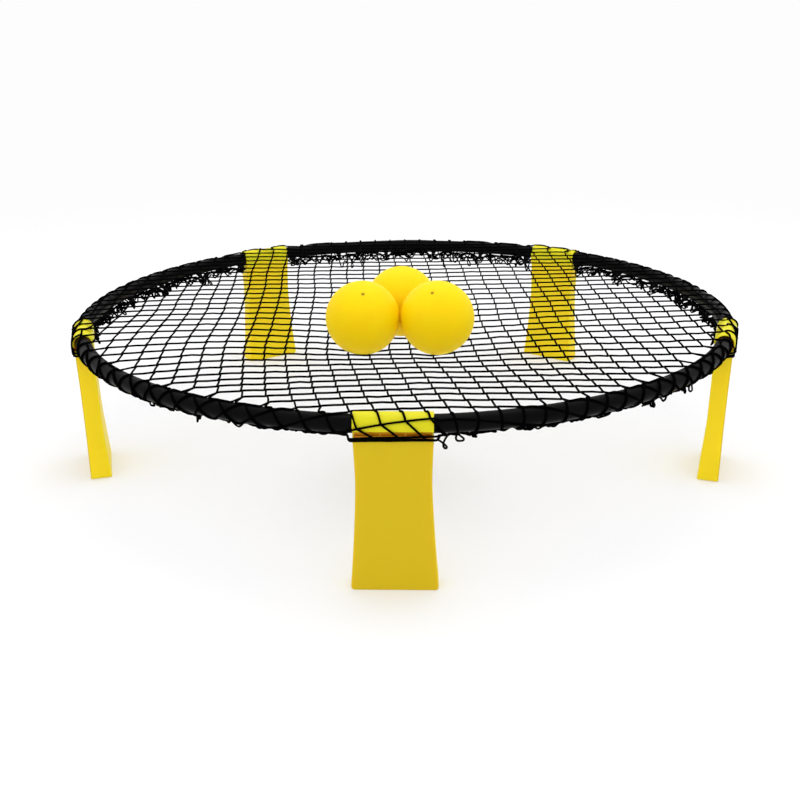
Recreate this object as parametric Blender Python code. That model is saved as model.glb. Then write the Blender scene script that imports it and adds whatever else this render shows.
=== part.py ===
"""Roundnet set: five folding legs, a rim of five tube sections, a net and three balls.

Metres, +Z up. The origin is on the floor under the ring's centre and the first leg
is on the -Y side.
"""
import math

import bmesh
import bpy
from mathutils import Matrix, Vector

# Rim: a ring of five equal tube sections.
SECTIONS = 5
RIM_RADIUS = 0.447
RIM_HEIGHT = 0.189
TUBE_RADIUS = 0.010
TUBE_BORE = 0.008
SECTION_GAP = 0.0004
TUBE_SIDES = 16
TUBE_STEPS = 16

# Spigot that joins two sections, hidden in their bores.
SPIGOT_RADIUS = 0.00755
SPIGOT_HALF_LENGTH = 0.032

# Net hooks, moulded on each section; the end hooks stand beside the legs.
HOOKS = 6
END_HOOK_FROM_LEG = 0.053
HOOK_LEAN = math.radians(37)
HOOK_ROOT = 0.0089
HOOK_REACH = 0.0245
HOOK_ROOT_WIDTH = 0.012
HOOK_TIP_WIDTH = 0.007
HOOK_ROOT_THICKNESS = 0.0056
HOOK_TIP_THICKNESS = 0.0034

# Leg: a sleeve over the tube joint with a hollow plate under it.
SLEEVE_RADIUS = 0.0129
SLEEVE_BORE = 0.01145
SLEEVE_HALF_WIDTH = 0.0415
HINGE_INSET = 0.00097
PLATE_HALF_WIDTH = 0.0413
SHOULDER_HEIGHT = 0.170
WAIST_HALF_WIDTH = 0.0400
WAIST_HEIGHT = 0.125
FOOT_HALF_WIDTH = 0.0476
PLATE_TOP = 0.187
PLATE_OUTER = 0.0116
FOOT_OUTER = 0.0118
OUTER_HOLLOW = 0.0008
PLATE_INNER = 0.0112
FOOT_INNER = 0.0158
HEEL_HEIGHT = 0.090
PLATE_CORNER = 0.002
FOOT_CORNER = 0.004
WALL = 0.0026
FOOT_WALL = 0.003
CAVITY_TOP = 0.0140
SLOT_HALF_WIDTH = 0.0395
SLOT_RIB_AT = 0.0130
SLOT_RIB = 0.0016

# Slot under the sleeve's lip, as heights below the tube's centre line and depths out
# from it: it slants in behind the lip and drops through to the plate's cavity.
SLOT_TOP = 0.0042
SLOT_BOTTOM = 0.0090
SLOT_THROAT = 0.0089
SLOT_TOP_DEPTH = 0.0120
SLOT_DROP_FRONT = 0.0094
SLOT_DROP_BACK = 0.0080

# Net: a shallow dish inside the rim.
NET_FLAT_RADIUS = 0.262
NET_EDGE_RADIUS = 0.432
NET_FLAT_HEIGHT = 0.1822
NET_EDGE_HEIGHT = 0.2015
NET_THICKNESS = 0.0016
NET_STEPS = 40

# Balls: three that touch, nearer the first leg than the middle.
BALL_RADIUS = 0.0465
BALL_WALL = 0.0018
BALL_HEIGHT = 0.229
BALL_GAP = 0.0003
BALL_ROW_Y = -0.192
VALVE_HOLE = 0.0022
VALVE_RADIUS = 0.0018
VALVE_DEPTH = 0.0024
BALL_STEPS = 18
BALL_ARC_STEPS = 10


def clear_scene():
    for thing in list(bpy.data.objects):
        bpy.data.objects.remove(thing, do_unlink=True)


def material(name, colour, roughness):
    made = bpy.data.materials.new(name)
    made.use_nodes = True
    shader = made.node_tree.nodes["Principled BSDF"]
    shader.inputs["Base Color"].default_value = (*colour, 1.0)
    shader.inputs["Roughness"].default_value = roughness
    made.diffuse_color = (*colour, 1.0)
    return made


def solid(name, shape, finish, sharp=35):
    """One closed body as an object of its own, facing out and shaded smooth."""
    verts, faces = shape
    mesh = bpy.data.meshes.new(name)
    mesh.from_pydata([tuple(v) for v in verts], [], faces)
    shell = bmesh.new()
    shell.from_mesh(mesh)
    bmesh.ops.recalc_face_normals(shell, faces=shell.faces)
    shell.to_mesh(mesh)
    shell.free()
    mesh.materials.append(finish)
    made = bpy.data.objects.new(name, mesh)
    bpy.context.collection.objects.link(made)
    smooth(made, sharp)
    return made


def smooth(thing, sharp):
    thing.data.shade_smooth()
    thing.data.set_sharp_from_angle(angle=math.radians(sharp))


def loft(rings, closed=False):
    """Skin over equal rings of points, capped unless the rings come back round."""
    count = len(rings[0])
    verts = [point for ring in rings for point in ring]
    faces = []
    for i in range(len(rings) if closed else len(rings) - 1):
        a = i * count
        b = (i + 1) % len(rings) * count
        for j in range(count):
            k = (j + 1) % count
            faces.append((a + j, a + k, b + k, b + j))
    if not closed:
        faces.append(tuple(reversed(range(count))))
        faces.append(tuple(range(len(verts) - count, len(verts))))
    return verts, faces


def turned(profile, steps):
    """A closed (radius, height) outline turned about Z; points at radius 0 stay single."""
    verts = []
    columns = []
    for radius, height in profile:
        turns = 1 if radius == 0 else steps
        columns.append([len(verts) + i for i in range(turns)])
        for i in range(turns):
            angle = math.tau * i / steps
            verts.append((radius * math.cos(angle), radius * math.sin(angle), height))
    faces = []
    for a, b in zip(columns, columns[1:] + columns[:1]):
        if len(a) == 1 and len(b) == 1:
            continue
        for i in range(steps):
            k = (i + 1) % steps
            corners = [a[i % len(a)], a[k % len(a)], b[k % len(b)], b[i % len(b)]]
            faces.append(tuple(dict.fromkeys(corners)))
    return verts, faces


def boolean(target, tool, operation):
    """Join or cut the target with a tool body, then drop the tool."""
    tool.hide_render = True
    tool.display_type = "WIRE"
    step = target.modifiers.new(operation.lower(), "BOOLEAN")
    step.operation = operation
    step.solver = "EXACT"
    step.object = tool
    graph = bpy.context.evaluated_depsgraph_get()
    result = bpy.data.meshes.new_from_object(target.evaluated_get(graph))
    target.modifiers.clear()
    target.data = result
    bpy.data.objects.remove(tool, do_unlink=True)


# Rim


def rim_point(angle, out, up):
    """A point by its angle from the first leg, outward from and above the tube's centre line."""
    radius = RIM_RADIUS + out
    return Vector((radius * math.sin(angle), -radius * math.cos(angle), up))


def tube_ring(angle, radius, sides):
    ring = []
    for j in range(sides):
        turn = math.tau * j / sides
        ring.append(rim_point(angle, radius * math.cos(turn), radius * math.sin(turn)))
    return ring


def hook(angle):
    """A tapered prong that leans down and inward from the tube."""
    rings = []
    for share in (0, 0.35, 0.7, 0.93, 1.0):
        reach = HOOK_ROOT + share * (HOOK_REACH - HOOK_ROOT)
        fade = 0.75 if share == 1.0 else 1.0
        width = fade * (HOOK_ROOT_WIDTH + share * (HOOK_TIP_WIDTH - HOOK_ROOT_WIDTH))
        depth = fade * (HOOK_ROOT_THICKNESS + share * (HOOK_TIP_THICKNESS - HOOK_ROOT_THICKNESS))
        rings.append([hook_corner(angle, reach, width, depth, j) for j in range(8)])
    return loft(rings)


def hook_corner(angle, reach, width, depth, j):
    """One of the eight corners of a hook's rounded section."""
    turn = math.tau * (j + 0.5) / 8
    along = max(-1, min(1, 1.3 * math.cos(turn))) * width / 2
    across = max(-1, min(1, 1.3 * math.sin(turn))) * depth / 2
    out = -reach * math.sin(HOOK_LEAN) + across * math.cos(HOOK_LEAN)
    up = -reach * math.cos(HOOK_LEAN) - across * math.sin(HOOK_LEAN)
    return rim_point(angle + along / RIM_RADIUS, out, up)


def rim_section(k, finish):
    start = SECTION_GAP / 2 / RIM_RADIUS
    end = math.tau / SECTIONS - start
    stations = [start + (end - start) * i / TUBE_STEPS for i in range(TUBE_STEPS + 1)]
    rings = [tube_ring(a, TUBE_RADIUS, TUBE_SIDES) for a in stations]
    rings += [tube_ring(a, TUBE_BORE, TUBE_SIDES) for a in reversed(stations)]
    tube = solid(f"rim_tube_{k + 1}", loft(rings, closed=True), finish)
    first = END_HOOK_FROM_LEG / RIM_RADIUS
    pitch = (math.tau / SECTIONS - 2 * first) / (HOOKS - 1)
    for i in range(HOOKS):
        boolean(tube, solid("hook", hook(first + i * pitch), finish), "UNION")
    smooth(tube, 35)
    place_on_ring(tube, k, (0, 0, RIM_HEIGHT))


def rim_spigot(k, finish):
    half = SPIGOT_HALF_LENGTH / RIM_RADIUS
    rings = [tube_ring(half * (i / 3 - 1), SPIGOT_RADIUS, 12) for i in range(7)]
    place_on_ring(solid(f"rim_spigot_{k + 1}", loft(rings), finish), k, (0, 0, RIM_HEIGHT))


def place_on_ring(thing, k, offset):
    """Turn a piece made for the first leg's place to place k."""
    turn = Matrix.Rotation(math.tau * k / SECTIONS, 4, "Z")
    thing.matrix_world = turn @ Matrix.Translation(offset)


# Legs, made with the hinge axis on local X and the outside of the ring on -Y


def half_width(height):
    """Half the plate's width at a height above the floor: narrowest at the waist."""
    flare = max(0, 1 - height / WAIST_HEIGHT) ** 1.35
    rise = (height - WAIST_HEIGHT) / (SHOULDER_HEIGHT - WAIST_HEIGHT)
    shoulder = min(1, max(0, rise)) ** 1.5
    width = WAIST_HALF_WIDTH + (FOOT_HALF_WIDTH - WAIST_HALF_WIDTH) * flare
    width += (PLATE_HALF_WIDTH - WAIST_HALF_WIDTH) * shoulder
    if height < FOOT_CORNER:
        width -= FOOT_CORNER - math.sqrt(FOOT_CORNER**2 - (FOOT_CORNER - height) ** 2)
    return width


def outer_face(height):
    share = 1 - height / RIM_HEIGHT
    bow = OUTER_HOLLOW * math.sin(math.pi * share)
    return PLATE_OUTER + (FOOT_OUTER - PLATE_OUTER) * share - bow


def inner_face(height):
    heel = max(0, 1 - height / HEEL_HEIGHT) ** 1.5
    return PLATE_INNER + (FOOT_INNER - PLATE_INNER) * heel


def plate_ring(height, inset):
    """The plate's section with its corners rounded, drawn in by inset."""
    x = half_width(height) - inset
    front = inset - outer_face(height)
    back = inner_face(height) - inset
    corners = ((x, back, 0), (-x, back, 90), (-x, front, 180), (x, front, 270))
    ring = []
    for cx, cy, first in corners:
        for angle in (first, first + 45, first + 90):
            turn = math.radians(angle)
            px = cx - math.copysign(PLATE_CORNER, cx) + PLATE_CORNER * math.cos(turn)
            py = cy - math.copysign(PLATE_CORNER, cy) + PLATE_CORNER * math.sin(turn)
            ring.append((px, py, height - RIM_HEIGHT))
    return ring


def plate(heights, inset):
    return loft([plate_ring(h, inset) for h in heights])


def sleeve_block():
    """The hood over the tube: a half round on a skirt that ends in a lip outside."""
    arc = [math.pi * i / 12 for i in range(13)]
    outline = [(-SLEEVE_RADIUS * math.cos(a), SLEEVE_RADIUS * math.sin(a)) for a in arc]
    lip = SLOT_TOP + 0.0004
    outline += [(SLEEVE_RADIUS, -0.009), (PLATE_INNER - 0.0005, -0.020)]
    outline += [(-0.008, -0.020), (-0.008, -lip), (-SLEEVE_RADIUS, -lip)]
    ends = (-SLEEVE_HALF_WIDTH, SLEEVE_HALF_WIDTH)
    return loft([[(x, y, z) for y, z in outline] for x in ends])


def sleeve_bore():
    """A round cutter with flared ends along the hinge axis."""
    half = SLEEVE_HALF_WIDTH
    stations = ((-half - 0.002, 0.0026), (-half + 0.0006, 0), (half - 0.0006, 0), (half + 0.002, 0.0026))
    rings = []
    for x, flare in stations:
        radius = SLEEVE_BORE + 0.5 * flare
        turns = [math.tau * j / 28 for j in range(28)]
        rings.append([(x, radius * math.cos(t), radius * math.sin(t)) for t in turns])
    return loft(rings)


def slot_cutters():
    """Three windows under the lip, parted by two ribs, each open to the cavity."""
    near = SLOT_RIB_AT - SLOT_RIB / 2
    far = SLOT_RIB_AT + SLOT_RIB / 2
    front = SLEEVE_RADIUS + 0.001
    low = CAVITY_TOP + 0.0007
    outline = [(front, SLOT_TOP), (SLOT_TOP_DEPTH, SLOT_TOP), (SLOT_THROAT, SLOT_THROAT)]
    outline += [(SLOT_DROP_BACK, 0.0102), (SLOT_DROP_BACK, low), (SLOT_DROP_FRONT, low)]
    outline += [(SLOT_DROP_FRONT, SLOT_BOTTOM), (front, SLOT_BOTTOM)]
    for x0, x1 in ((-SLOT_HALF_WIDTH, -far), (-near, near), (far, SLOT_HALF_WIDTH)):
        yield loft([[(x, -out, -down) for out, down in outline] for x in (x0, x1)])


def leg(k, finish):
    mm = 0.001
    heights = [h * mm for h in (0, 0.5, 1.5, 4, 15, 30, 46, 64, 84, 104, 125, 150, 170)]
    heights.append(PLATE_TOP)
    made = solid(f"leg_{k + 1}", plate(heights, 0), finish)
    boolean(made, solid("sleeve", sleeve_block(), finish), "UNION")
    boolean(made, solid("bore", sleeve_bore(), finish), "DIFFERENCE")
    levels = [FOOT_WALL] + [h * mm for h in (10, 30, 55, 90, 125, 150)]
    levels.append(RIM_HEIGHT - CAVITY_TOP)
    boolean(made, solid("cavity", plate(levels, WALL), finish), "DIFFERENCE")
    for shape in slot_cutters():
        boolean(made, solid("slot", shape, finish), "DIFFERENCE")
    smooth(made, 35)
    place_on_ring(made, k, (0, HINGE_INSET - RIM_RADIUS, RIM_HEIGHT))


# Net


def net(finish):
    under = NET_THICKNESS
    profile = [(0, NET_FLAT_HEIGHT), (NET_FLAT_RADIUS, NET_FLAT_HEIGHT)]
    profile += [(NET_EDGE_RADIUS, NET_EDGE_HEIGHT), (NET_EDGE_RADIUS, NET_EDGE_HEIGHT - under)]
    profile += [(NET_FLAT_RADIUS, NET_FLAT_HEIGHT - under), (0, NET_FLAT_HEIGHT - under)]
    solid("net", turned(profile, NET_STEPS), finish, sharp=60)


# Balls


def ball_profile():
    """Half the section of a hollow ball, open at the valve on the pole."""
    inner = BALL_RADIUS - BALL_WALL
    first = math.asin(VALVE_HOLE / BALL_RADIUS)
    angles = [first + (math.pi - first) * i / BALL_ARC_STEPS for i in range(BALL_ARC_STEPS)]
    profile = [(BALL_RADIUS * math.sin(a), BALL_RADIUS * math.cos(a)) for a in angles]
    profile += [(0, -BALL_RADIUS), (0, -inner)]
    first = math.asin(VALVE_HOLE / inner)
    angles = [first + (math.pi - first) * i / BALL_ARC_STEPS for i in range(BALL_ARC_STEPS)]
    profile += [(inner * math.sin(a), inner * math.cos(a)) for a in reversed(angles)]
    return profile


def valve_profile():
    top = BALL_RADIUS - 0.0001
    return [(0, top), (VALVE_RADIUS, top), (VALVE_RADIUS, top - VALVE_DEPTH), (0, top - VALVE_DEPTH)]


def ball(k, centre, valve_way, skin_finish, valve_finish):
    skin = solid(f"ball_{k}_skin", turned(ball_profile(), BALL_STEPS), skin_finish)
    valve = solid(f"ball_{k}_valve", turned(valve_profile(), 12), valve_finish)
    facing = Vector(valve_way).to_track_quat("Z", "Y").to_matrix().to_4x4()
    for piece in (skin, valve):
        piece.matrix_world = Matrix.Translation(centre) @ facing


def balls(skin_finish, valve_finish):
    side = BALL_RADIUS + BALL_GAP / 2
    rear = BALL_ROW_Y + math.sqrt(3) * side
    ball(1, (-side, BALL_ROW_Y, BALL_HEIGHT), (0.06, -0.58, 0.81), skin_finish, valve_finish)
    ball(2, (side, BALL_ROW_Y, BALL_HEIGHT), (-0.14, -0.54, 0.83), skin_finish, valve_finish)
    ball(3, (0, rear, BALL_HEIGHT), (0.1, 0.7, 0.7), skin_finish, valve_finish)


def main():
    clear_scene()
    yellow = material("leg_plastic", (0.86, 0.72, 0.03), 0.4)
    black = material("rim_plastic", (0.02, 0.02, 0.02), 0.45)
    cord = material("net_cord", (0.015, 0.015, 0.015), 0.8)
    rubber = material("ball_rubber", (0.9, 0.72, 0.02), 0.5)
    valve = material("valve_rubber", (0.03, 0.03, 0.03), 0.6)
    for k in range(SECTIONS):
        leg(k, yellow)
        rim_section(k, black)
        rim_spigot(k, black)
    net(cord)
    balls(rubber, valve)


main()
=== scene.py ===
import math
import random

import bmesh
import bpy
import numpy as np
from mathutils import Matrix, Vector


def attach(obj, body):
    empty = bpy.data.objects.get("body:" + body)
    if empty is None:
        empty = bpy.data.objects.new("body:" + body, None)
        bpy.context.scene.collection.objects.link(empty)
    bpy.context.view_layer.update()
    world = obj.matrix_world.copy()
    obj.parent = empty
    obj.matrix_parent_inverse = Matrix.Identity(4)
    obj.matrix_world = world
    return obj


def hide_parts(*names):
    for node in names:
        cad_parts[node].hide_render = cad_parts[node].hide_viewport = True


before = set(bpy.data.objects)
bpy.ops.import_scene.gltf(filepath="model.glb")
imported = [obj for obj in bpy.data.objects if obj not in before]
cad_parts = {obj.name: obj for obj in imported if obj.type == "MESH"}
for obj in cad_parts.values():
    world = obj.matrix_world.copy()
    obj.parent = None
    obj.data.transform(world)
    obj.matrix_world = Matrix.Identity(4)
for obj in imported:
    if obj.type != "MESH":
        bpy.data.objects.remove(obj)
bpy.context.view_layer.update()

# Rim, from the part's own dimensions in metres.
SECTIONS = 5
RIM_RADIUS = 0.447
RIM_HEIGHT = 0.189
TUBE_RADIUS = 0.010
TUBE_END_FLAT = 0.0085
TUBE_END_BEVEL = 0.0004
TUBE_END_TURN = 0.0009
SECTION_GAP = 0.0004
HOOKS = 6
END_HOOK_FROM_LEG = 0.053
HOOK_LEAN = math.radians(37)
HOOK_REACH = 0.0245
HOOK_ROOT = 0.0088
HOOK_WIDTH = 0.0072
END_HOOK_EXTRA = 0.0036
HOOK_DEPTH = 0.0042
HOOK_CURL = 0.22

# Legs: the hinge axis is the sleeve's own axis.
HINGE_INSET = 0.00097
SLEEVE_RADIUS = 0.0129
SLEEVE_BORE = 0.01145
SLEEVE_HALF_WIDTH = 0.0415
SLEEVE_SKIRT = 0.009
SLEEVE_ROOT = 0.020
SLEEVE_ROOT_FRONT = 0.008
SLEEVE_ROOT_INSET = 0.0005
LIP_LEDGE = 0.0004
LIP_BEVEL = 0.0008
PLATE_HALF_WIDTH = 0.0413
SHOULDER_HEIGHT = 0.170
WAIST_HALF_WIDTH = 0.0400
WAIST_HEIGHT = 0.125
FOOT_HALF_WIDTH = 0.0476
FLARE_POWER = 1.35
SHOULDER_POWER = 1.5
PLATE_TOP = 0.187
PLATE_OUTER = 0.0116
FOOT_OUTER = 0.0118
OUTER_HOLLOW = 0.0008
PLATE_INNER = 0.0112
FOOT_INNER = 0.0158
HEEL_HEIGHT = 0.090
HEEL_POWER = 1.5
PLATE_CORNER = 0.002
FOOT_CORNER = 0.004
SOLE_ROUND = 0.0012
EDGE_BEVEL = 0.0005
SLOT_HALF_WIDTH = 0.0395
SLOT_RIB_AT = 0.0130
SLOT_RIB = 0.0016
SLOT_TOP = 0.0042
SLOT_BOTTOM = 0.0090
SLOT_THROAT = 0.0089
SLOT_TOP_DEPTH = 0.0120
SLOT_DROP_FRONT = 0.0094
SLOT_DROP_BACK = 0.0080
SLOT_DROP = 0.0147
SLOT_KNEE = 0.0102

# Net: a square mesh turned slightly from the legs, wrapped over the rim to a hem that
# runs under the tube from hook to hook.
MESH_PITCH = 0.02695
NET_TURN = math.radians(1.82)
NET_SHIFT = (-0.00045, -0.0038)
HEM_PAST = 0.0345
CORD_RADIUS = 0.0012
KNOT_RADIUS = 0.0018
KNOT_STAGGER = 0.0010
CORD_WOBBLE = 0.00025
DRAPE_POINTS = 9
CORD_TWIST = 0.004
MESH_EDGE = 0.002
RELAX_STEPS = 500
SAG_PER_STEP = 0.000004

# The stretched mesh's lean: slopes and bows of its columns along X and of its rows along Y.
COLUMN_BOW_NEAR = 0.183
COLUMN_LEAN_FAR = 0.053
COLUMN_FAN_FAR = 0.15
COLUMN_NARROWING = 0.02
COLUMN_SPREAD = 0.046
COLUMN_SPREAD_EDGE = 0.25
COLUMN_TWIST = 0.15
ROW_TILT = 0.05
ROW_TILT_NEAR_LEFT = 0.08
ROW_TILT_NEAR_RIGHT = 0.07
ROW_DROP_LEFT = 0.02
ROW_TILT_FAR_LEFT = 0.03
ROW_TILT_EXTRA_LEFT = 0.1
ROW_FAN_FAR_RIGHT = 0.2
ROW_STRETCH_NEAR = 0.11
ROW_STRETCH_EDGE = 0.27
RIPPLE = 0.0012

# Hem strands: where they run from the tube's centre line, how much further in and down they
# go at a hook, and how far from a leg's middle they come off its face.
HEM_OUT = -0.0040
HEM_UP = -0.0112
HEM_SAG = 0.0008
HEM_IN_AT_HOOK = 0.0075
HEM_DOWN_AT_HOOK = 0.0068
HEM_ON_LEG = 0.0425
HEM_LEAVES_LEG = 0.0085
TIE_DRIFT = 0.003
TIE_DRIFT_BY_LEG = 0.016

# Spare loops that hang from the hem.
LOOPS = 290
LOOP_POINTS = 11
LOOP_ON_LEG = 0.047
LOOP_BY_LEG = 0.056
LOOP_ODDS_ON_LEG = 0.22
LOOP_ODDS_FRONT = 0.45
LOOP_ODDS_MORE_BEHIND = 0.55
LOOP_DEPTH = (0.0020, 0.0120)
LOOP_DEPTH_BEHIND = 0.0110
LOOP_DEPTH_ON_LEG = 0.007
LOOP_HALF_WIDTH = (0.0025, 0.0080)
LOOP_SWING = (0.0015, 0.0065)
LOOP_WOBBLE = 0.0003

# Balls.
BALL_RADIUS = 0.0465
BALL_HEIGHT = 0.229
BALL_ROW_Y = -0.192
BALL_GAP = 0.00015
BALL_CONTACT = 0.7
VALVE_HOLE = 0.0022
VALVE_WAYS = {1: (0.06, -0.58, 0.81), 2: (-0.14, -0.54, 0.83), 3: (0.1, 0.7, 0.7)}

# Camera.
CAMERA_PLACE = (0.036, -1.354, 0.5582)
CAMERA_HEADING = 1.82
CAMERA_DOWN = 20.7
CAMERA_ROLL = -0.55
CAMERA_LENS = 43.25
CAMERA_SENSOR = 36

# Light: the sky's strength at the horizon and overhead, and the lamp above.
SKY_LOW = 0.97
SKY_HIGH = 1.12
TOP_POWER = 14
TOP_SIZE = 2.0
TOP_PLACE = (0.1, 0.2, 2.4)
TOP_TARGET = (0, 0, 0.1)

# Paper sweep under and behind the set.
SWEEP_NEAR = -7.0
SWEEP_BEND = 3.0
SWEEP_BEND_RADIUS = 2
SWEEP_TOP = 7.0
SWEEP_HALF_WIDTH = 9

LEG_ANGLE = math.tau / SECTIONS


# Objects and meshes


def link(name, mesh, material=None):
    made = bpy.data.objects.new(name, mesh)
    bpy.context.scene.collection.objects.link(made)
    if material is not None:
        mesh.materials.clear()
        mesh.materials.append(material)
    return made


def mesh_of(name, verts, faces, sharp=40):
    mesh = bpy.data.meshes.new(name)
    mesh.from_pydata([tuple(v) for v in verts], [], faces)
    shell = bmesh.new()
    shell.from_mesh(mesh)
    bmesh.ops.recalc_face_normals(shell, faces=shell.faces)
    shell.to_mesh(mesh)
    shell.free()
    mesh.shade_smooth()
    mesh.set_sharp_from_angle(angle=math.radians(sharp))
    return mesh


def loft(rings):
    """A closed skin over rings of points, with a flat cap at either end."""
    count = len(rings[0])
    verts = [p for ring in rings for p in ring]
    faces = []
    for i in range(len(rings) - 1):
        a = i * count
        b = (i + 1) * count
        for j in range(count):
            k = (j + 1) % count
            faces.append((a + j, a + k, b + k, b + j))
    faces.append(tuple(reversed(range(count))))
    faces.append(tuple(range(len(verts) - count, len(verts))))
    return verts, faces


def apply_modifiers(thing):
    """Makes the object's modifiers part of its own mesh."""
    graph = bpy.context.evaluated_depsgraph_get()
    mesh = bpy.data.meshes.new_from_object(thing.evaluated_get(graph))
    thing.modifiers.clear()
    thing.data = mesh


def boolean(target, tool, operation):
    step = target.modifiers.new(operation.lower(), "BOOLEAN")
    step.operation = operation
    step.solver = "EXACT"
    step.object = tool
    apply_modifiers(target)
    bpy.data.objects.remove(tool, do_unlink=True)


# Materials


class Shader:
    """A Principled material with short calls for its nodes."""

    def __init__(self, name, colour, roughness, specular=0.5):
        self.material = bpy.data.materials.new(name)
        self.material.use_nodes = True
        self.tree = self.material.node_tree
        self.main = self.tree.nodes["Principled BSDF"]
        self.main.inputs["Base Color"].default_value = (*colour, 1)
        self.main.inputs["Roughness"].default_value = roughness
        self.main.inputs["Specular IOR Level"].default_value = specular

    def node(self, kind, **values):
        made = self.tree.nodes.new(kind)
        for key, value in values.items():
            if hasattr(made, key):
                setattr(made, key, value)
            else:
                made.inputs[key.replace("_", " ")].default_value = value
        return made

    def link(self, a, out, b, into):
        self.tree.links.new(a.outputs[out], b.inputs[into])

    def object_noise(self, scale, detail=3.0, rough=0.5):
        place = self.node("ShaderNodeTexCoord")
        noise = self.node("ShaderNodeTexNoise", Scale=scale, Detail=detail, Roughness=rough)
        self.link(place, "Object", noise, "Vector")
        return noise

    def ramp(self, source, out, stops):
        made = self.node("ShaderNodeValToRGB")
        ramp = made.color_ramp
        while len(ramp.elements) < len(stops):
            ramp.elements.new(0.5)
        for element, (at, colour) in zip(ramp.elements, stops):
            element.position = at
            element.color = (*colour, 1)
        self.link(source, out, made, "Fac")
        return made

    def bump(self, source, out, strength, distance):
        made = self.node("ShaderNodeBump", Strength=strength, Distance=distance)
        self.link(source, out, made, "Height")
        self.link(made, "Normal", self.main, "Normal")


def soft_glow(s, weight, depth):
    """Light that goes a little way into yellow plastic and comes back more orange."""
    s.main.inputs["Subsurface Weight"].default_value = weight
    s.main.inputs["Subsurface Radius"].default_value = (1.0, 0.42, 0.06)
    s.main.inputs["Subsurface Scale"].default_value = depth


def leg_plastic():
    """Yellow moulded plastic, fine-grained, with painted shade: darker on the outer face and deep orange on
    the walls inside the slots.
    """
    s = Shader("leg_plastic", (0.86, 0.66, 0.005), roughness=0.42, specular=0.2)
    flow = s.object_noise(scale=14, detail=4)
    colour = s.ramp(flow, "Fac", [(0.3, (0.86, 0.665, 0.004)), (0.7, (0.91, 0.705, 0.006))])
    last = colour.outputs["Color"]
    # Painted shade: the outer face gets a darker tone for the shade on the side that faces out, and the
    # slot walls get a deep orange for the shade inside the recesses.
    for name, tone in (("outer", (0.66, 0.475, 0.002, 1)), ("slot", (0.66, 0.235, 0.004, 1))):
        where = s.node("ShaderNodeAttribute", attribute_name=name)
        painted_shade_mix = s.node("ShaderNodeMix", data_type="RGBA")
        s.tree.links.new(where.outputs["Fac"], painted_shade_mix.inputs[0])
        s.tree.links.new(last, painted_shade_mix.inputs[6])
        painted_shade_mix.inputs[7].default_value = tone
        last = painted_shade_mix.outputs[2]
    s.tree.links.new(last, s.main.inputs["Base Color"])
    grain = s.object_noise(scale=1400, detail=2)
    s.bump(grain, "Fac", strength=0.12, distance=0.0002)
    wear = s.object_noise(scale=60, detail=4)
    rough = s.ramp(wear, "Fac", [(0.2, (0.38,) * 3), (0.8, (0.52,) * 3)])
    s.link(rough, "Color", s.main, "Roughness")
    soft_glow(s, weight=0.45, depth=0.014)
    return s.material


def rim_plastic():
    """Black satin plastic, slightly uneven from extrusion."""
    s = Shader("rim_plastic", (0.0015, 0.0015, 0.0015), roughness=0.36, specular=0.045)
    cloud = s.object_noise(scale=40, detail=4)
    tone = s.ramp(cloud, "Fac", [(0.3, (0.0008,) * 3), (0.75, (0.0018, 0.0018, 0.002))])
    s.link(tone, "Color", s.main, "Base Color")
    wear = s.object_noise(scale=90, detail=5)
    rough = s.ramp(wear, "Fac", [(0.25, (0.3,) * 3), (0.8, (0.46,) * 3)])
    s.link(rough, "Color", s.main, "Roughness")
    s.bump(s.object_noise(scale=900, detail=3), "Fac", strength=0.1, distance=0.0002)
    return s.material


def net_cord():
    """Two-ply twisted black cord: the twist runs slantwise along the cord's own length."""
    s = Shader("net_cord", (0.001, 0.001, 0.001), roughness=0.95, specular=0.01)
    place = s.node("ShaderNodeTexCoord")
    wave = s.node("ShaderNodeTexWave", bands_direction="DIAGONAL", Scale=1.0, Distortion=0.6)
    s.link(place, "UV", wave, "Vector")
    s.bump(wave, "Fac", strength=0.8, distance=0.0004)
    # Painted shade: the base colour darkens with the bump into the twist's grooves.
    tone = s.ramp(wave, "Fac", [(0.1, (0.0004,) * 3), (0.9, (0.0018, 0.0018, 0.002))])
    s.link(tone, "Color", s.main, "Base Color")
    return s.material


def ball_rubber():
    """Soft matt rubber with a very fine pebble and a slight cloudy tone."""
    s = Shader("ball_rubber", (0.96, 0.67, 0.001), roughness=0.5, specular=0.1)
    cloud = s.object_noise(scale=22, detail=3)
    colour = s.ramp(cloud, "Fac", [(0.3, (0.95, 0.650, 0.001)), (0.7, (0.98, 0.690, 0.001))])
    s.link(colour, "Color", s.main, "Base Color")
    s.bump(s.object_noise(scale=1100, detail=2), "Fac", strength=0.08, distance=0.0002)
    soft_glow(s, weight=0.5, depth=0.02)
    return s.material


def valve_rubber():
    """The darker plug in each ball, finely grained."""
    s = Shader("valve_rubber", (0.42, 0.25, 0.01), roughness=0.6, specular=0.2)
    s.bump(s.object_noise(scale=2000, detail=2), "Fac", strength=0.1, distance=0.0001)
    return s.material


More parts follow.
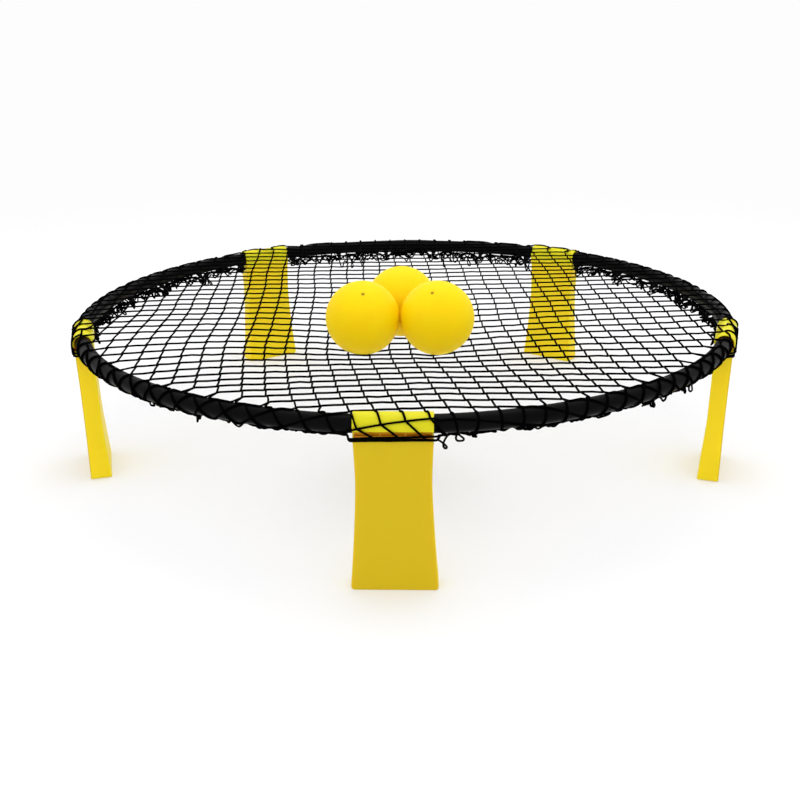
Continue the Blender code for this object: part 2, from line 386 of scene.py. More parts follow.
def sweep_material():
    """White paper, partly lit from within near the set and wholly so further out."""
    s = Shader("studio_sweep", (0.94, 0.94, 0.94), roughness=0.9, specular=0.1)
    cloud = s.object_noise(scale=3, detail=3)
    tone = s.ramp(cloud, "Fac", [(0.3, (0.915, 0.92, 0.94)), (0.7, (0.925, 0.93, 0.95))])
    s.link(tone, "Color", s.main, "Base Color")
    place = s.node("ShaderNodeTexCoord")
    away = s.node("ShaderNodeVectorMath", operation="LENGTH")
    s.link(place, "Object", away, "Vector")
    fade = s.node("ShaderNodeMapRange", From_Min=0.7, From_Max=2.4)
    fade.inputs["To Min"].default_value = 0.2
    s.link(away, "Value", fade, "Value")
    glow = s.node("ShaderNodeEmission", Color=(1, 0.992, 0.996, 1), Strength=0.99)
    mix = s.node("ShaderNodeMixShader")
    s.link(fade, "Result", mix, "Fac")
    s.tree.links.new(s.main.outputs["BSDF"], mix.inputs[1])
    s.tree.links.new(glow.outputs["Emission"], mix.inputs[2])
    s.link(mix, "Shader", s.tree.nodes["Material Output"], "Surface")
    return s.material


# Legs: local X along the hinge axis, -Y out of the ring


def half_width(height):
    """Half the plate's width: flared at the foot, narrow at the waist, wider at the sleeve."""
    flare = max(0, 1 - height / WAIST_HEIGHT) ** FLARE_POWER
    rise = (height - WAIST_HEIGHT) / (SHOULDER_HEIGHT - WAIST_HEIGHT)
    shoulder = min(1, max(0, rise)) ** SHOULDER_POWER
    width = WAIST_HALF_WIDTH + (FOOT_HALF_WIDTH - WAIST_HALF_WIDTH) * flare
    width += (PLATE_HALF_WIDTH - WAIST_HALF_WIDTH) * shoulder
    if height < FOOT_CORNER:
        width -= FOOT_CORNER - math.sqrt(FOOT_CORNER**2 - (FOOT_CORNER - height) ** 2)
    return width


def outer_face(height):
    share = 1 - height / RIM_HEIGHT
    bow = OUTER_HOLLOW * math.sin(math.pi * share)
    return PLATE_OUTER + (FOOT_OUTER - PLATE_OUTER) * share - bow


def inner_face(height):
    heel = max(0, 1 - height / HEEL_HEIGHT) ** HEEL_POWER
    return PLATE_INNER + (FOOT_INNER - PLATE_INNER) * heel


def plate_ring(height, foot_round):
    """One level section of the plate, with its four corners rounded."""
    steps = 6
    x = half_width(height) - foot_round
    front = foot_round - outer_face(height)
    back = inner_face(height) - foot_round
    corners = ((x, back, 0), (-x, back, 90), (-x, front, 180), (x, front, 270))
    ring = []
    for cx, cy, first in corners:
        for step in range(steps + 1):
            turn = math.radians(first + 90 / steps * step)
            px = cx - math.copysign(PLATE_CORNER, cx) + PLATE_CORNER * math.cos(turn)
            py = cy - math.copysign(PLATE_CORNER, cy) + PLATE_CORNER * math.sin(turn)
            ring.append((px, py, height - RIM_HEIGHT))
    return ring


def plate_shape():
    """The plate from its rounded sole up, in sections that lie closer at the foot."""
    steps = 4
    rings = []
    for step in range(steps + 1):
        turn = math.pi / 2 * step / steps
        rings.append(plate_ring(SOLE_ROUND * (1 - math.cos(turn)), SOLE_ROUND * (1 - math.sin(turn))))
    lowest, spacing, count = 0.012, 0.006, 29
    heights = [0.0017, 0.0025, 0.004, 0.007] + [lowest + spacing * i for i in range(count)]
    return loft(rings + [plate_ring(h, 0) for h in heights] + [plate_ring(PLATE_TOP, 0)])


def sleeve_shape():
    """The hood over the tube: a half round on a skirt, its ends slightly rounded."""
    lip = SLOT_TOP + LIP_LEDGE
    half = SLEEVE_HALF_WIDTH
    outer, middle, steps = 0.0006, 0.0002, 28
    ends = [(-half, outer), (-half + middle, middle), (-half + outer, 0)]
    ends += [(-x, drop) for x, drop in reversed(ends)]
    rings = []
    for x, drop in ends:
        radius = SLEEVE_RADIUS - drop
        arc = [math.pi * i / steps for i in range(steps + 1)]
        outline = [(-radius * math.cos(a), radius * math.sin(a)) for a in arc]
        outline += [(radius, -SLEEVE_SKIRT), (PLATE_INNER - SLEEVE_ROOT_INSET, -SLEEVE_ROOT)]
        outline += [(-SLEEVE_ROOT_FRONT, -SLEEVE_ROOT), (-SLEEVE_ROOT_FRONT, -lip)]
        outline += [(LIP_BEVEL - radius, -lip), (-radius, LIP_BEVEL - lip)]
        rings.append([(x, y, z) for y, z in outline])
    return loft(rings)


def bore_shape():
    """What is cut from the sleeve for the tube, flared at both mouths."""
    half = SLEEVE_HALF_WIDTH
    inset, past, wider, sides = 0.0006, 0.002, 0.0013, 48
    stations = ((-half - past, wider), (-half + inset, 0), (half - inset, 0), (half + past, wider))
    rings = []
    for x, flare in stations:
        radius = SLEEVE_BORE + flare
        turns = [math.tau * j / sides for j in range(sides)]
        rings.append([(x, radius * math.cos(t), radius * math.sin(t)) for t in turns])
    return loft(rings)


def slot_shapes():
    """Three windows that slant in behind the lip and drop down inside the plate."""
    near = SLOT_RIB_AT - SLOT_RIB / 2
    far = SLOT_RIB_AT + SLOT_RIB / 2
    clear = 0.001
    front = SLEEVE_RADIUS + clear
    outline = [(front, SLOT_TOP), (SLOT_TOP_DEPTH, SLOT_TOP), (SLOT_THROAT, SLOT_THROAT)]
    outline += [(SLOT_DROP_BACK, SLOT_KNEE), (SLOT_DROP_BACK, SLOT_DROP), (SLOT_DROP_FRONT, SLOT_DROP)]
    outline += [(SLOT_DROP_FRONT, SLOT_BOTTOM), (front, SLOT_BOTTOM)]
    for x0, x1 in ((-SLOT_HALF_WIDTH, -far), (-near, near), (far, SLOT_HALF_WIDTH)):
        yield loft([[(x, -out, -down) for out, down in outline] for x in (x0, x1)])


def leg_mesh():
    """One leg moulding: plate and sleeve in one, cut by the bore and the slots."""
    made = link("leg_master", mesh_of("leg_master", *plate_shape()))
    boolean(made, link("sleeve", mesh_of("sleeve", *sleeve_shape())), "UNION")
    boolean(made, link("bore", mesh_of("bore", *bore_shape())), "DIFFERENCE")
    for shape in slot_shapes():
        boolean(made, link("slot", mesh_of("slot", *shape)), "DIFFERENCE")
    edge = made.modifiers.new("edge", "BEVEL")
    edge.width = EDGE_BEVEL
    edge.segments = 2
    edge.limit_method = "ANGLE"
    edge.angle_limit = math.radians(50)
    apply_modifiers(made)
    mesh = made.data
    mesh.shade_smooth()
    mesh.set_sharp_from_angle(angle=math.radians(38))
    mark_painted_shade_faces(mesh)
    bpy.data.objects.remove(made, do_unlink=True)
    return mesh


def mark_painted_shade_faces(mesh):
    """Marks the plate's outer face and the walls inside the slots, where the leg material paints shade into
    the colour.
    """
    # Both marks carry painted shade: outer for the plate's outer face, slot for the recess walls.
    outer = mesh.attributes.new("outer", "FLOAT", "FACE")
    slot = mesh.attributes.new("slot", "FLOAT", "FACE")
    near, back, outward = 0.0002, -0.0075, -0.3
    for face in mesh.polygons:
        x, y, z = face.center
        inside = -SLOT_DROP - near < z < -SLOT_TOP - near and -PLATE_OUTER < y < back
        slot.data[face.index].value = float(inside and abs(x) < SLOT_HALF_WIDTH + near)
        outer.data[face.index].value = float(face.normal.y < outward and z < -SLOT_TOP)


def place_on_ring(k, offset):
    return Matrix.Rotation(LEG_ANGLE * k, 4, "Z") @ Matrix.Translation(offset)


def make_legs(material):
    shared = leg_mesh()
    for k in range(SECTIONS):
        mesh = shared.copy()
        mesh.transform(place_on_ring(k, (0, HINGE_INSET - RIM_RADIUS, RIM_HEIGHT)))
        leg = link(f"leg_{k + 1}_moulding", mesh, material)
        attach(leg, f"leg_{k + 1}")
        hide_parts(f"leg_{k + 1}")


# Rim tubes with their hooks


def rim_point(angle, out, up):
    """A point by its angle from the first leg, outward from and above the tube's centre line."""
    radius = RIM_RADIUS + out
    return Vector((radius * math.sin(angle), -radius * math.cos(angle), RIM_HEIGHT + up))


def tube_shape(k):
    """One fifth of the ring, its ends slightly bevelled."""
    start = k * LEG_ANGLE + SECTION_GAP / 2 / RIM_RADIUS
    end = (k + 1) * LEG_ANGLE - SECTION_GAP / 2 / RIM_RADIUS
    steps, sides = 72, 32
    bevel = TUBE_RADIUS - TUBE_END_BEVEL
    before = [(start, TUBE_END_FLAT), (start, bevel), (start + TUBE_END_TURN, TUBE_RADIUS)]
    middle = [(start + (end - start) * i / steps, TUBE_RADIUS) for i in range(1, steps)]
    after = [(end - TUBE_END_TURN, TUBE_RADIUS), (end, bevel), (end, TUBE_END_FLAT)]
    rings = []
    for angle, radius in before + middle + after:
        turns = [math.tau * j / sides for j in range(sides)]
        rings.append([rim_point(angle, radius * math.cos(t), radius * math.sin(t)) for t in turns])
    return loft(rings)


def hook_shape(angle, wide):
    """A prong with a broad root, leaning down and inward, its tip turned up a little."""
    rings = []
    steps, sides, squareness = 14, 16, 0.6
    taper_width, taper_depth = 0.28, 0.25
    root_width, root_depth = 0.0045, 0.0035
    tip_start, tip_share, blunt = 0.82, 0.18, 0.04
    for i in range(steps + 1):
        share = i / steps
        reach = HOOK_ROOT + share * (HOOK_REACH - HOOK_ROOT)
        root = (1 - share) ** 3
        width = (HOOK_WIDTH + END_HOOK_EXTRA * wide) * (1 - taper_width * share) + root_width * root
        depth = HOOK_DEPTH * (1 - taper_depth * share) + root_depth * root
        close = max(0, (share - tip_start) / tip_share)
        shrink = math.sqrt(max(blunt, 1 - close**2))
        lean = HOOK_LEAN + HOOK_CURL * share**2
        ring = []
        for j in range(sides):
            turn = math.tau * (j + 0.5) / sides
            c, s = math.cos(turn), math.sin(turn)
            along = math.copysign(abs(c) ** squareness, c) * width / 2 * shrink
            across = math.copysign(abs(s) ** squareness, s) * depth / 2 * shrink
            out = -reach * math.sin(lean) + across * math.cos(lean)
            up = -reach * math.cos(lean) - across * math.sin(lean)
            ring.append(rim_point(angle + along / RIM_RADIUS, out, up))
        rings.append(ring)
    return loft(rings)


def hook_angles():
    """Each hook's angle from the leg at its section's start."""
    first = END_HOOK_FROM_LEG / RIM_RADIUS
    pitch = (LEG_ANGLE - 2 * first) / (HOOKS - 1)
    return [first + i * pitch for i in range(HOOKS)]


def joined(shapes):
    """Several shapes as one list of points and one of faces."""
    verts, faces = [], []
    for v, f in shapes:
        base = len(verts)
        verts += v
        faces += [tuple(i + base for i in face) for face in f]
    return verts, faces


def make_rim(material):
    for k in range(SECTIONS):
        shapes = [tube_shape(k)]
        for i, angle in enumerate(hook_angles()):
            shapes.append(hook_shape(k * LEG_ANGLE + angle, i in (0, HOOKS - 1)))
        tube = link(f"rim_section_{k + 1}", mesh_of("rim_section", *joined(shapes)), material)
        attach(tube, "rim")
        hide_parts(f"rim_tube_{k + 1}")
        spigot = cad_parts[f"rim_spigot_{k + 1}"].data
        spigot.materials.clear()
        spigot.materials.append(material)


# Net


def warp(x, y):
    """How the stretched mesh leans: its columns bow to +X towards the first leg."""
    near = np.minimum(y, 0)
    far = np.maximum(y, 0)
    left = np.minimum(x, 0)
    right = np.maximum(x, 0)
    begins, full, side_begins, left_begins = 0.1, 0.2, 0.25, 0.22
    far_left = np.minimum(0, x + left_begins)
    well_back = np.maximum(y - begins, 0)
    low = np.clip((-y - begins) / full, 0, 1)
    side = np.maximum(0, -x - side_begins) / full
    stretched = np.clip(-y - begins, 0, 0.35)
    at_edge = np.clip(-y - full, 0, 0.3)
    dx = COLUMN_BOW_NEAR * near**2 - (COLUMN_LEAN_FAR - COLUMN_FAN_FAR * x) * far - COLUMN_NARROWING * x
    dx += COLUMN_SPREAD * x**2 - COLUMN_SPREAD_EDGE * x**3 + COLUMN_TWIST * x * y * (x - y)
    dy = ROW_TILT * x + (ROW_TILT_NEAR_LEFT * left - ROW_TILT_NEAR_RIGHT * right) * low
    dy -= ROW_DROP_LEFT * side**2
    dy += (ROW_TILT_FAR_LEFT + ROW_TILT_EXTRA_LEFT * low) * far_left - ROW_FAN_FAR_RIGHT * right * well_back
    dy += ROW_STRETCH_NEAR * stretched + ROW_STRETCH_EDGE * at_edge**2
    dx += RIPPLE * np.sin(31 * y + 9 * x)
    dy += RIPPLE * np.sin(27 * x - 11 * y)
    return dx, dy


class Net:
    """The net as a graph: lattice knots joined by cords, flat coordinates first."""

    def __init__(self):
        spare, lattice_spare = 0.09, 0.12
        reach = int((RIM_RADIUS + lattice_spare) / MESH_PITCH) + 2
        c, s = math.cos(NET_TURN), math.sin(NET_TURN)
        self.index = {}
        flat = []
        for i in range(-reach, reach + 1):
            for j in range(-reach, reach + 1):
                u = i * MESH_PITCH + NET_SHIFT[0]
                v = j * MESH_PITCH + NET_SHIFT[1]
                dx, dy = warp(u, v)
                x, y = u + dx, v + dy
                x, y = c * x - s * y, s * x + c * y
                if math.hypot(x, y) < RIM_RADIUS + spare:
                    self.index[i, j] = len(flat)
                    flat.append((x, y))
        self.flat = np.array(flat)
        self.away = np.hypot(self.flat[:, 0], self.flat[:, 1])
        self.edges = []
        for (i, j), a in self.index.items():
            for other in ((i + 1, j), (i, j + 1)):
                if other in self.index:
                    self.edges.append((a, self.index[other]))
        self.edges = np.array(self.edges)
        self.inside = self.away < RIM_RADIUS - MESH_EDGE
        self.kept = self.away < RIM_RADIUS + HEM_PAST - MESH_EDGE
        self.points = self.lay_inside()
        outer = ~self.inside
        self.points[outer] = surface(self.flat[outer])

    def lay_inside(self):
        """Heights inside the rim: a stretched sheet, pressed down by the balls."""
        z = np.full(len(self.flat), RIM_HEIGHT + TUBE_RADIUS + CORD_RADIUS)
        z += sleeve_share(self.flat) * (SLEEVE_RADIUS - TUBE_RADIUS)
        limit = np.full(len(self.flat), np.inf)
        for centre in ball_centres().values():
            d = np.hypot(self.flat[:, 0] - centre[0], self.flat[:, 1] - centre[1])
            under = d < BALL_RADIUS * BALL_CONTACT
            drop = np.sqrt(BALL_RADIUS**2 - d[under] ** 2)
            limit[under] = np.minimum(limit[under], centre[2] - drop - CORD_RADIUS)
        a, b = self.edges.T
        for _ in range(RELAX_STEPS):
            total = np.zeros(len(z))
            count = np.zeros(len(z))
            np.add.at(total, a, z[b])
            np.add.at(total, b, z[a])
            np.add.at(count, a, 1)
            np.add.at(count, b, 1)
            mean = total / np.maximum(count, 1) - SAG_PER_STEP
            z = np.where(self.inside, np.minimum(mean, limit), z)
        return np.column_stack([self.flat, z])


def ball_centres():
    """Two balls side by side and one behind them, all but touching."""
    side = BALL_RADIUS + BALL_GAP
    rear = BALL_ROW_Y + math.sqrt(3) * side
    row = {1: (-side, BALL_ROW_Y, BALL_HEIGHT), 2: (side, BALL_ROW_Y, BALL_HEIGHT)}
    return {**row, 3: (0, rear, BALL_HEIGHT)}


def soft_step(x):
    """From nought to one as x does, with a soft start and end."""
    x = np.clip(x, 0, 1)
    return x * x * (3 - 2 * x)


def from_leg(angle):
    """Angle from the nearest leg."""
    return angle - np.round(angle / LEG_ANGLE) * LEG_ANGLE


def sleeve_share(flat):
    """One over the legs' sleeves, falling to nought just past their ends."""
    falls_over = 0.005
    along = np.abs(RIM_RADIUS * from_leg(np.arctan2(flat[:, 0], -flat[:, 1])))
    return 1 - soft_step((along - SLEEVE_HALF_WIDTH) / falls_over)


def surface(flat):
    """Lays flat points past the rim's top line over the tube or sleeve and down its outside."""
    r = np.hypot(flat[:, 0], flat[:, 1])
    ways = flat / r[:, None]
    past = np.maximum(0, r - RIM_RADIUS)
    share = sleeve_share(flat)
    sides = []
    for radius, last in ((TUBE_RADIUS, math.pi), (SLEEVE_RADIUS, math.pi / 2)):
        radius += CORD_RADIUS
        turn = np.minimum(past / radius, last)
        sides.append((radius * np.sin(turn), radius * np.cos(turn) - (past - turn * radius)))
    angle = from_leg(np.arctan2(flat[:, 0], -flat[:, 1]))
    chord = (RIM_RADIUS - HINGE_INSET) / np.cos(angle) - RIM_RADIUS
    out = sides[0][0] * (1 - share) + (sides[1][0] + chord) * share
    up = sides[0][1] * (1 - share) + sides[1][1] * share
    return np.column_stack([ways * (RIM_RADIUS + out)[:, None], RIM_HEIGHT + up])


def on_ring(angle, out, up):
    """Points by angle from the first leg, outward from and above the tube's centre line."""
    r = RIM_RADIUS + out
    return np.column_stack([r * np.sin(angle), -r * np.cos(angle), RIM_HEIGHT + up])


def wander(rng, angle, step, size):
    """Smooth random values round the ring, with a new value every step metres."""
    count = int(math.tau * RIM_RADIUS / step)
    values = rng.normal(0, size, count)
    place = (np.asarray(angle) / math.tau * count) % count
    low = np.floor(place).astype(int)
    share = soft_step(place - low)
    return values[low % count] * (1 - share) + values[(low + 1) % count] * share


class Hem:
    """Strands that run under the tube from hook to hook and across the legs' faces."""

    def __init__(self, seed, level, slope, loose):
        rng = np.random.default_rng(seed)
        samples, hook_span = 1500, 0.010
        self.angle = np.linspace(0, math.tau, samples, endpoint=False)
        near = from_leg(self.angle)
        along = np.abs(near) * RIM_RADIUS
        hooks = np.zeros(len(self.angle))
        for k in range(SECTIONS):
            for hook in hook_angles():
                gap = (self.angle - k * LEG_ANGLE - hook + math.pi) % math.tau - math.pi
                hooks += np.exp(-((gap * RIM_RADIUS / hook_span) ** 2))
        slack = loose * (1 - 0.8 * hooks)
        sway = wander(rng, self.angle, step=0.011, size=0.0020) * slack
        free_out = HEM_OUT - HEM_IN_AT_HOOK * hooks + sway
        dip = wander(rng, self.angle, step=0.009, size=0.0014) * slack
        free_up = HEM_UP - HEM_SAG * slack - HEM_DOWN_AT_HOOK * hooks + dip
        far = np.hypot(free_out, free_up)
        grow = np.maximum(1, (TUBE_RADIUS + 1.2 * CORD_RADIUS) / far)
        leg = 1 - soft_step((along - HEM_ON_LEG) / HEM_LEAVES_LEG)
        chord = (RIM_RADIUS - HINGE_INSET) / np.cos(near) - RIM_RADIUS
        face_out = PLATE_OUTER + CORD_RADIUS + chord
        half_face_angle = 0.093
        tremble = wander(rng, self.angle, step=0.02, size=0.00025)
        face_up = -level + slope * near / half_face_angle + tremble
        self.out = free_out * grow * (1 - leg) + face_out * leg
        self.up = free_up * grow * (1 - leg) + face_up * leg

    def at(self, angle):
        angle = np.atleast_1d(angle) % math.tau
        out = np.interp(angle, self.angle, self.out, period=math.tau)
        up = np.interp(angle, self.angle, self.up, period=math.tau)
        return on_ring(angle, out, up)

    def path(self):
        ring = on_ring(self.angle, self.out, self.up)
        return np.vstack([ring, ring[:1]])


def draped_paths(net, hem):
    """Cords outside the rim: laid over it, the ones that cross the hem tied to it."""
    rng = np.random.default_rng(12)
    paths, ties = [], []
    for a, b in net.edges:
        if net.inside[a] and net.inside[b]:
            continue
        if not net.kept[a] and not net.kept[b]:
            continue
        if not net.kept[a]:
            a, b = b, a
        start, end = net.flat[a], net.flat[b]
        tied = not net.kept[b]
        if tied:
            end = tie_point(rng, start, end)
        shares = np.linspace(0, 1, DRAPE_POINTS)[:, None]
        flat = start * (1 - shares) + end * shares
        path = surface(flat)
        within = np.hypot(flat[:, 0], flat[:, 1]) < RIM_RADIUS
        if net.inside[a] or net.inside[b]:
            path = over_the_edge(net, a, b, flat, path, within)
        path[0] = net.points[a]
        if tied:
            path[-1] = hem.at(math.atan2(end[0], -end[1]))[0]
            ties.append(path[-1])
        else:
            path[-1] = net.points[b]
        paths.append(smoothed(path))
    return paths, ties


def tie_point(rng, start, end):
    """Where a cord meets the hem: near its crossing, drawn along by the slack or a leg."""
    a, b = math.hypot(*start), math.hypot(*end)
    share = (RIM_RADIUS + HEM_PAST - a) / max(b - a, 1e-6)
    cross = start + (end - start) * min(1, share)
    angle = math.atan2(cross[0], -cross[1])
    by_leg = abs(from_leg(angle)) * RIM_RADIUS < SLEEVE_HALF_WIDTH
    drift = TIE_DRIFT_BY_LEG if by_leg else rng.normal(0, TIE_DRIFT)
    angle += drift / RIM_RADIUS
    r = RIM_RADIUS + HEM_PAST
    return np.array([r * math.sin(angle), -r * math.cos(angle)])


def over_the_edge(net, a, b, flat, path, within):
    """Bridges the last stretch from a knot inside the rim up to the rim's top line."""
    inner = a if net.inside[a] else b
    low = net.points[inner][2]
    r = np.hypot(flat[:, 0], flat[:, 1])
    reach = max(RIM_RADIUS - net.away[inner], 1e-4)
    share = np.clip((r - net.away[inner]) / reach, 0, 1)
    rising = low + (path[:, 2] - low) * share
    path[within, 2] = rising[within]
    return path


def slack_paths(hem):
    """Spare mesh that hangs from the hem in loops, in bunches that grow behind the ring."""
    rng = np.random.default_rng(23)
    paths = []
    even, least_full, fullest = 0.55, 0.1, 1.3
    leg_span = 0.012
    bunches = wander(rng, math.tau * np.arange(LOOPS) / LOOPS, step=0.045, size=0.45)
    clumps = np.clip(even + bunches, least_full, fullest)
    for i in range(LOOPS):
        angle = math.tau * (i + rng.uniform(0, 0.9)) / LOOPS
        along = abs(from_leg(angle)) * RIM_RADIUS
        on_leg = along < LOOP_ON_LEG
        if on_leg and rng.uniform() > LOOP_ODDS_ON_LEG:
            continue
        behind = 0.5 - 0.5 * math.cos(angle)
        if rng.uniform() > LOOP_ODDS_FRONT + LOOP_ODDS_MORE_BEHIND * behind:
            continue
        wide = rng.uniform(*LOOP_HALF_WIDTH) / RIM_RADIUS
        by_leg = math.exp(-(((along - LOOP_BY_LEG) / leg_span) ** 2))
        gathered = clumps[i] + 0.4 * behind + 0.5 * by_leg
        least, most = LOOP_DEPTH
        depth = rng.uniform(least, most + LOOP_DEPTH_BEHIND * behind) * min(gathered, fullest)
        depth = min(depth, LOOP_DEPTH_ON_LEG) if on_leg else depth
        inward, outward = (0.7, 1.3) if on_leg else (-0.4 - 0.9 * behind, 0.1 + 0.35 * (1 - behind))
        lean = rng.uniform(inward, outward)
        turn = rng.uniform(-0.6, 0.6)
        share = np.linspace(0, 1, LOOP_POINTS)
        start, end = hem.at(angle - wide)[0], hem.at(angle + wide)[0]
        path = start * (1 - share[:, None]) + end * share[:, None]
        bulge = np.sin(math.pi * share)
        radial = np.array([math.sin(angle), -math.cos(angle), 0])
        tangent = np.array([math.cos(angle), math.sin(angle), 0])
        down = radial * math.sin(lean) * 0.8 + np.array([0, 0, -math.cos(lean)])
        swing = np.sin(math.tau * share) * rng.uniform(*LOOP_SWING)
        path += bulge[:, None] * depth * down + (swing + turn * depth * bulge)[:, None] * tangent
        path += rng.normal(0, LOOP_WOBBLE, path.shape)
        paths.append(smoothed(path))
    return paths


def stray_paths(hem):
    """Loose strands that meander under the tube, deeper on the far side of the ring."""
    paths = []
    samples, shortest = 1400, 8
    clear_of_leg, grows_over, on_leg = 0.050, 0.006, 0.02
    drop, highest, in_front = 0.004, 0.002, 0.25
    for seed in (31, 33):
        rng = np.random.default_rng(seed)
        angle = np.linspace(0, math.tau, samples)
        legs = soft_step((np.abs(from_leg(angle)) * RIM_RADIUS - clear_of_leg) / grows_over)
        behind = in_front + (1 - in_front) * (0.5 - 0.5 * np.cos(angle))
        base = hem.at(angle)
        out = wander(rng, angle, step=0.0065, size=0.0048) * behind - drop * behind
        up = wander(rng, angle, step=0.0058, size=0.0052) * behind - drop * behind
        radial = np.column_stack([np.sin(angle), -np.cos(angle)])
        base[:, :2] += radial * (out * legs)[:, None]
        base[:, 2] += np.minimum(up, highest) * legs
        for run in np.split(np.arange(len(angle)), np.flatnonzero(legs < on_leg)):
            if len(run) > shortest:
                paths.append(smoothed(base[run]))
    return paths


def cord_mesh(name, paths, radius, sides=6):
    """One mesh of many cords: tubes along the paths, with their length as U."""
    verts, faces, uvs = [], [], []
    for path in paths:
        path = np.asarray(path, float)
        tangent = np.gradient(path, axis=0)
        tangent /= np.maximum(np.linalg.norm(tangent, axis=1), 1e-9)[:, None]
        side = np.cross(tangent[0], (0.31, 0.2, 0.93))
        side /= np.linalg.norm(side)
        length = 0.0
        base = len(verts)
        marks = []
        for i, (point, along) in enumerate(zip(path, tangent)):
            if i:
                length += float(np.linalg.norm(point - path[i - 1]))
            side = side - along * side.dot(along)
            side /= max(np.linalg.norm(side), 1e-9)
            other = np.cross(along, side)
            marks.append(length)
            for j in range(sides):
                turn = math.tau * j / sides
                verts.append(point + radius * (math.cos(turn) * side + math.sin(turn) * other))
        for i in range(len(path) - 1):
            a, b = base + i * sides, base + (i + 1) * sides
            for j in range(sides):
                k = (j + 1) % sides
                faces.append((a + j, a + k, b + k, b + j))
                u0, u1 = marks[i] / CORD_TWIST, marks[i + 1] / CORD_TWIST
                v0, v1 = j / sides, (j + 1) / sides
                uvs += [u0, v0, u0, v1, u1, v1, u1, v0]
    mesh = bpy.data.meshes.new(name)
    mesh.from_pydata([tuple(v) for v in verts], [], faces)
    layer = mesh.uv_layers.new(name="along")
    layer.data.foreach_set("uv", uvs)
    mesh.shade_smooth()
    return mesh


def knot_mesh(name, spots, seed):
    """Small lumpy overhand knots."""
    rng = random.Random(seed)
    shell = bmesh.new()
    bmesh.ops.create_icosphere(shell, subdivisions=1, radius=1)
    base = [v.co.copy() for v in shell.verts]
    tris = [tuple(v.index for v in f.verts) for f in shell.faces]
    shell.free()
    verts, faces = [], []
    long, broad, thick, lumps = (1.0, 1.35), (0.75, 1.0), (0.6, 0.8), (0.85, 1.1)
    for spot in spots:
        turn = Matrix.Rotation(rng.uniform(0, math.tau), 3, "Z")
        size = Vector((rng.uniform(*long), rng.uniform(*broad), rng.uniform(*thick)))
        first = len(verts)
        for v in base:
            lump = KNOT_RADIUS * rng.uniform(*lumps)
            verts.append(Vector(spot) + turn @ (v * size) * lump)
        faces += [tuple(i + first for i in f) for f in tris]
    mesh = bpy.data.meshes.new(name)
    mesh.from_pydata([tuple(v) for v in verts], [], faces)
    mesh.shade_smooth()
    return mesh


def inner_paths(net):
    """Taut cords between knots, each leaving its knots a little to one side."""
    rng = np.random.default_rng(7)
    c, s = math.cos(NET_TURN), math.sin(NET_TURN)
    row = np.array([c, s, 0])
    column = np.array([-s, c, 0])
    spots = {i: key for key, i in net.index.items()}
    most, rest = 0.93, 0.07
    paths = []
    for a, b in net.edges:
        if not (net.inside[a] and net.inside[b]):
            continue
        is_row = spots[a][1] == spots[b][1]
        step = KNOT_STAGGER * (column if is_row else -row)
        start = net.points[a] + step
        end = net.points[b] - step
        middle = (start + end) / 2 + rng.normal(0, CORD_WOBBLE, 3)
        leaves, meets = start * most + end * rest, start * rest + end * most
        paths.append([net.points[a], leaves, middle, meets, net.points[b]])
    return paths


def smoothed(path):
    """The path with a point added between each two, and its bends softened."""
    path = np.asarray(path, float)
    middle = (path[:-1] + path[1:]) / 2
    out = np.empty((len(path) + len(middle), 3))
    out[0::2] = path
    out[1::2] = middle
    soft = out.copy()
    soft[1:-1] = out[1:-1] * 0.5 + (out[:-2] + out[2:]) * 0.25
    return soft


def make_net(material):
    """The whole net in two meshes, cords and knots, both held by the rim."""
    net = Net()
    main = Hem(seed=6, level=0.0122, slope=-0.0006, loose=1.0)
    upper = Hem(seed=5, level=0.0102, slope=0.0016, loose=0.7)
    lower = Hem(seed=8, level=0.0134, slope=0.0004, loose=1.3)
    draped, ties = draped_paths(net, main)
    paths = inner_paths(net) + draped + [hem.path() for hem in (upper, main, lower)]
    paths += slack_paths(main) + stray_paths(main)
    cords = link("net_cords", cord_mesh("net_cords", paths, CORD_RADIUS), material)
    held = [net.points[i] for i in np.flatnonzero(net.kept)]
    knots = link("net_knots", knot_mesh("net_knots", held + ties, 11), material)
    for piece in (cords, knots):
        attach(piece, "rim")
    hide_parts("net")


# Balls


def ball_shape():
    """A ball with a small dished valve seat at its pole."""
    seat, steps, last = 1.25 * math.asin(VALVE_HOLE / BALL_RADIUS), 48, 0.02
    narrowed, floor, edge = VALVE_HOLE * 0.95, 0.0016, 0.0005
    profile = [(narrowed, BALL_RADIUS - floor), (VALVE_HOLE, BALL_RADIUS - edge)]
    for i in range(steps + 1):
        angle = seat + (math.pi - seat - last) * (i / steps)
        profile.append((BALL_RADIUS * math.sin(angle), BALL_RADIUS * math.cos(angle)))
    return turned(profile, 72)


def valve_shape():
    """A plug with a rounded rim and a pinhole in its middle."""
    profile = [(0.0021, 0.0440), (0.0021, 0.0457), (0.0018, 0.0460), (0.0008, 0.0460), (0.0006, 0.0454)]
    return turned(profile, 24)


def turned(profile, sides):
    """A shape turned about Z from its profile's radii and heights."""
    turns = [math.tau * j / sides for j in range(sides)]
    return loft([[(r * math.cos(t), r * math.sin(t), height) for t in turns] for r, height in profile])


def make_balls(rubber, valve):
    for k, centre in ball_centres().items():
        facing = Vector(VALVE_WAYS[k]).to_track_quat("Z", "Y").to_matrix().to_4x4()
        place = Matrix.Translation(centre) @ facing
        skin = link(f"ball_{k}", mesh_of("ball", *ball_shape()), rubber)
        plug = link(f"ball_{k}_plug", mesh_of("plug", *valve_shape()), valve)
        parts = ((skin, f"ball_{k}_skin", "ball_rubber"), (plug, f"ball_{k}_valve", "valve_rubber"))
        for piece, node, slot in parts:
            piece.data.transform(place)
            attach(piece, f"ball_{k}")
            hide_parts(node)


# Camera, floor and light


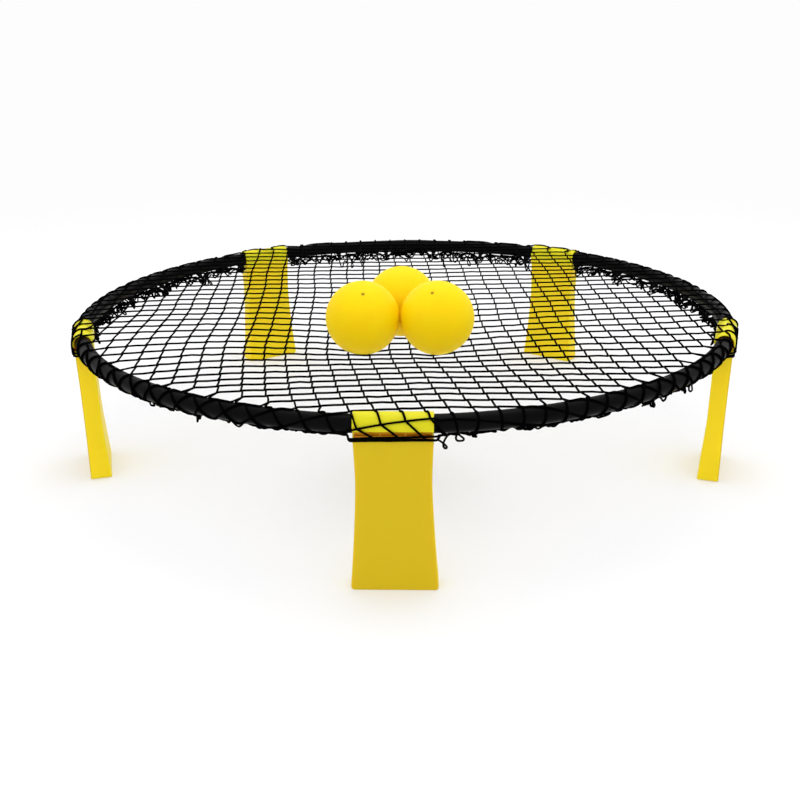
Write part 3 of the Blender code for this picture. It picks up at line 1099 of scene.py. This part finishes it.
def make_camera():
    data = bpy.data.cameras.new("camera")
    data.sensor_width = CAMERA_SENSOR
    data.lens = CAMERA_LENS
    camera = bpy.data.objects.new("camera", data)
    bpy.context.scene.collection.objects.link(camera)
    heading = Matrix.Rotation(math.radians(CAMERA_HEADING), 4, "Z")
    pitch = Matrix.Rotation(math.radians(90 - CAMERA_DOWN), 4, "X")
    roll = Matrix.Rotation(math.radians(CAMERA_ROLL), 4, "Z")
    camera.matrix_world = Matrix.Translation(CAMERA_PLACE) @ heading @ pitch @ roll
    bpy.context.scene.camera = camera


def area_light(name, place, target, size, power):
    data = bpy.data.lights.new(name, "AREA")
    data.shape = "DISK"
    data.size = size
    data.energy = power
    lamp = bpy.data.objects.new(name, data)
    bpy.context.scene.collection.objects.link(lamp)
    lamp.location = place
    lamp.rotation_euler = (Vector(target) - Vector(place)).to_track_quat("-Z", "Y").to_euler()


def sweep_shape():
    """A paper sweep: flat under the set, curving up well behind it."""
    steps, radius = 24, SWEEP_BEND_RADIUS
    line = [(SWEEP_NEAR, 0.0), (SWEEP_BEND, 0.0)]
    for i in range(1, steps + 1):
        turn = math.pi / 2 * i / steps
        line.append((SWEEP_BEND + radius * math.sin(turn), radius - radius * math.cos(turn)))
    line.append((SWEEP_BEND + radius, SWEEP_TOP))
    verts = [(x, y, z) for y, z in line for x in (-SWEEP_HALF_WIDTH, SWEEP_HALF_WIDTH)]
    faces = [(2 * i, 2 * i + 1, 2 * i + 3, 2 * i + 2) for i in range(len(line) - 1)]
    return verts, faces


def studio_light():
    """A white sky all round, a little stronger overhead than at the horizon."""
    world = bpy.data.worlds.new("studio")
    world.use_nodes = True
    tree = world.node_tree
    place = tree.nodes.new("ShaderNodeTexCoord")
    parts = tree.nodes.new("ShaderNodeSeparateXYZ")
    strength = tree.nodes.new("ShaderNodeMapRange")
    limits = {"From Min": 0.0, "From Max": 0.8, "To Min": SKY_LOW, "To Max": SKY_HIGH}
    for name, value in limits.items():
        strength.inputs[name].default_value = value
    tree.links.new(place.outputs["Generated"], parts.inputs["Vector"])
    tree.links.new(parts.outputs["Z"], strength.inputs["Value"])
    tree.links.new(strength.outputs["Result"], tree.nodes["Background"].inputs["Strength"])
    tree.nodes["Background"].inputs["Color"].default_value = (1, 1, 1, 1)
    bpy.context.scene.world = world


def make_studio():
    verts, faces = sweep_shape()
    sweep = link("studio_sweep", mesh_of("studio_sweep", verts, faces, 60), sweep_material())
    studio_light()
    area_light("top", TOP_PLACE, TOP_TARGET, TOP_SIZE, TOP_POWER)
    bpy.context.scene.view_settings.view_transform = "Standard"


def main():
    make_camera()
    make_studio()
    make_legs(leg_plastic())
    make_rim(rim_plastic())
    make_net(net_cord())
    make_balls(ball_rubber(), valve_rubber())
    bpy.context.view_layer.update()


main()
